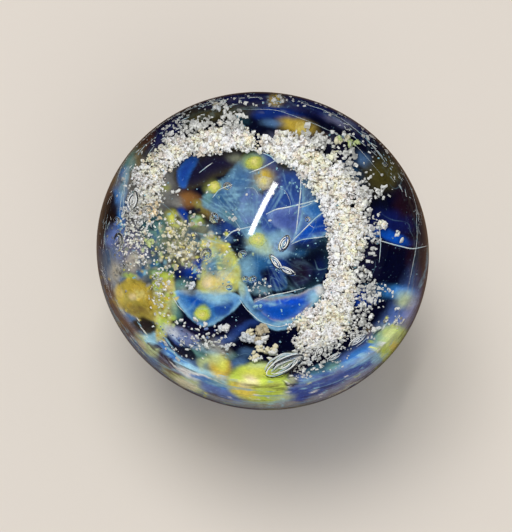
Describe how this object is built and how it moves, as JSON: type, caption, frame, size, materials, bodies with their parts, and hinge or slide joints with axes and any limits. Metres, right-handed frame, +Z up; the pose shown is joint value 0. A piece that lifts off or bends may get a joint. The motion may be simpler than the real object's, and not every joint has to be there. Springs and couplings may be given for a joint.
{
  "type": "glass marble",
  "caption": "Slightly oval lampworked glass ball: a clear dome over a cobalt glass bowl, with a C of crushed white glass and yellow-green frit spots sealed inside. A loose ornament for a desk.",
  "frame": {"origin": "middle of the ball", "axes": "+Z up, square to the bowl's lip; +X along the ball's longest diameter; -Y towards the open side of the white C"},
  "size_m": [0.03, 0.0284, 0.0286],
  "materials": {
    "clear_glass": "fire-polished clear",
    "cobalt_glass": "fire-polished, dark blue with opal streaks",
    "white_grains": "crushed, sugary",
    "yellow_frit": "fused drops with soft edges"
  },
  "bodies": {
    "root": {"clear_casing": "clear_glass", "cobalt_bowl": "cobalt_glass", "grain_band": "white_grains", "frit_spots": "yellow_frit"}
  },
  "joints": []
}
